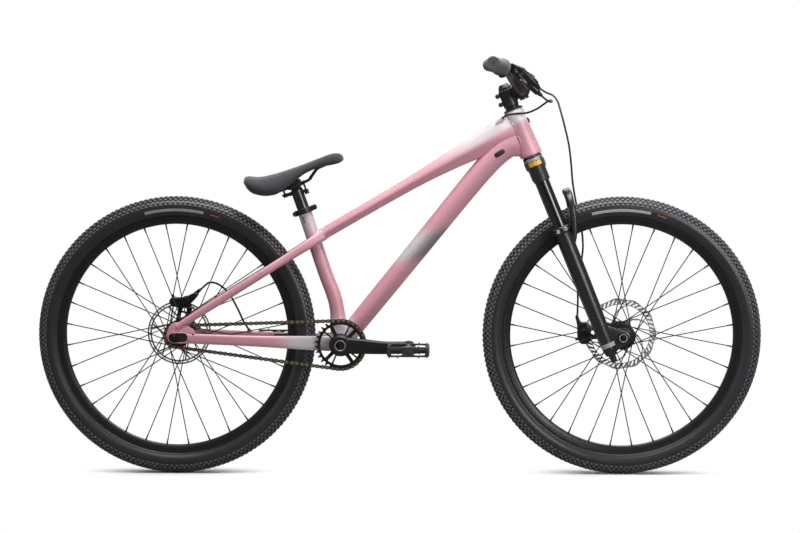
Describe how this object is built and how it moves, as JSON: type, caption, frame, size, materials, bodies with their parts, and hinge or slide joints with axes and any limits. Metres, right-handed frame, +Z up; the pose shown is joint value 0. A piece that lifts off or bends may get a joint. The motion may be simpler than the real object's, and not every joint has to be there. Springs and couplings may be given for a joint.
{
  "type": "dirt jump bike",
  "caption": "Hardtail dirt jump bike with a suspension fork, disc brakes, wide riser handlebar, low saddle, flat pedals and a single-speed chain drive.",
  "frame": {"origin": "on the ground, midway between the two wheels and in the middle plane of the bike", "axes": "+X forward, +Y to the rider's left (the brake side), +Z up; the chain is on the -Y side"},
  "size_m": [1.805, 0.7866, 1.038],
  "materials": {
    "frame_paint": "satin pink with soft grey fades",
    "black_alloy": "black anodised, satin",
    "bare_alloy": "bare, brushed",
    "fork_paint": "dark bluish grey, gloss",
    "rotor_steel": "brushed",
    "dark_steel": "dark, lightly oiled",
    "black_plastic": "matt",
    "black_rubber": "matt",
    "tyre": "matt",
    "saddle_fabric": "woven, matt"
  },
  "bodies": {
    "frame": {"frame": "frame_paint", "head_bearing_lower": "rotor_steel", "head_bearing_upper": "rotor_steel", "cable_port_cover": "black_plastic", "bb_cup_left": "black_alloy", "bb_cup_right": "black_alloy", "rear_axle": "dark_steel", "rear_axle_nut_left": "dark_steel", "rear_axle_nut_right": "dark_steel", "rear_brake_caliper": "black_alloy", "rear_brake_pad_outer": "dark_steel", "rear_brake_pad_inner": "dark_steel", "rear_brake_hose_rear": "black_rubber", "chain": "dark_steel", "seat_clamp": "black_alloy", "seat_clamp_bolt": "dark_steel"},
    "seatpost": {"seatpost": "black_alloy"},
    "saddle": {"saddle_clamp": "black_alloy", "saddle_rails": "dark_steel", "saddle": "saddle_fabric"},
    "steering": {"fork_crown": "black_alloy", "headset_cover": "black_alloy", "headset_spacer": "black_alloy", "stem": "black_alloy", "stem_faceplate": "black_alloy", "stem_top_cap": "black_alloy", "handlebar": "black_alloy", "grip_right": "black_rubber", "grip_left": "black_rubber", "brake_master_right": "black_alloy", "brake_master_left": "black_alloy", "rear_brake_hose_front": "black_rubber", "front_brake_hose": "black_rubber"},
    "lever_right": {"brake_lever_right": "black_alloy"},
    "lever_left": {"brake_lever_left": "black_alloy"},
    "fork": {"fork_lowers": "fork_paint", "front_brake_caliper": "black_alloy", "front_brake_pad_outer": "dark_steel", "front_brake_pad_inner": "dark_steel", "front_axle": "dark_steel"},
    "front_wheel": {"front_tyre": "tyre", "front_inner_tube": "black_rubber", "front_rim": "black_alloy", "front_hub_and_spokes": "black_alloy", "front_brake_rotor": "rotor_steel"},
    "rear_wheel": {"rear_tyre": "tyre", "rear_inner_tube": "black_rubber", "rear_rim": "black_alloy", "rear_hub_and_spokes": "black_alloy", "rear_brake_rotor": "rotor_steel"},
    "rear_cog": {"rear_cog": "dark_steel"},
    "cranks": {"crank_spindle": "bare_alloy", "chainring": "black_alloy", "crank_arm_right": "black_alloy", "crank_arm_left": "black_alloy", "pedal_axle_right": "dark_steel", "pedal_axle_left": "dark_steel"},
    "pedal_right": {"pedal_right": "black_plastic"},
    "pedal_left": {"pedal_left": "black_plastic"}
  },
  "joints": [
    {"name": "steering", "type": "hinge", "parent": "frame", "child": "steering", "pos_m": [0.32934, 0, 0.79597], "axis": [-0.3746, 0, 0.9272], "range_deg": [-80, 80], "deforming": ["rear_brake_hose_front"]},
    {"name": "fork_travel", "type": "slide", "parent": "steering", "child": "fork", "axis": [-0.3746, 0, 0.9272], "range_m": [0, 0.1], "stiffness_N_per_m": 8000, "springref_m": -0.03, "deforming": ["front_brake_hose"]},
    {"name": "front_wheel_spin", "type": "hinge", "parent": "fork", "child": "front_wheel", "pos_m": [0.5555, 0, 0.347], "axis": [0, 1, 0], "continuous": true},
    {"name": "rear_wheel_spin", "type": "hinge", "parent": "frame", "child": "rear_wheel", "pos_m": [-0.5555, 0, 0.347], "axis": [0, 1, 0], "continuous": true},
    {"name": "crank_spin", "type": "hinge", "parent": "frame", "child": "cranks", "pos_m": [-0.144, 0, 0.3265], "axis": [0, 1, 0], "continuous": true},
    {"name": "rear_cog_spin", "type": "hinge", "parent": "frame", "child": "rear_cog", "pos_m": [-0.5555, 0, 0.347], "axis": [0, 1, 0], "continuous": true},
    {"name": "pedal_right_spin", "type": "hinge", "parent": "cranks", "child": "pedal_right", "pos_m": [0.02597, 0, 0.32353], "axis": [0, 1, 0], "continuous": true},
    {"name": "pedal_left_spin", "type": "hinge", "parent": "cranks", "child": "pedal_left", "pos_m": [-0.31397, 0, 0.32947], "axis": [0, 1, 0], "continuous": true},
    {"name": "brake_lever_right", "type": "hinge", "parent": "steering", "child": "lever_right", "pos_m": [0.29411, -0.24624, 0.99064], "axis": [-0.6796, 0.0846, -0.7287], "range_deg": [0, 20], "stiffness_Nm_per_rad": 1, "springref_deg": -17.19},
    {"name": "brake_lever_left", "type": "hinge", "parent": "steering", "child": "lever_left", "pos_m": [0.29753, 0.24646, 0.99784], "axis": [0.5439, 0.0528, 0.8375], "range_deg": [0, 20], "stiffness_Nm_per_rad": 1, "springref_deg": -17.19},
    {"name": "seatpost_height", "type": "slide", "parent": "frame", "child": "seatpost", "axis": [-0.3338, 0, 0.9426], "range_m": [-0.025, 0.03]},
    {"name": "saddle_tilt", "type": "hinge", "parent": "seatpost", "child": "saddle", "pos_m": [-0.2573, 0, 0.71544], "axis": [0, 1, 0], "range_deg": [-8, 8]}
  ],
  "couplings": [
    {"joint": "rear_cog_spin", "follows": "crank_spin", "ratio": 2.3077}
  ]
}
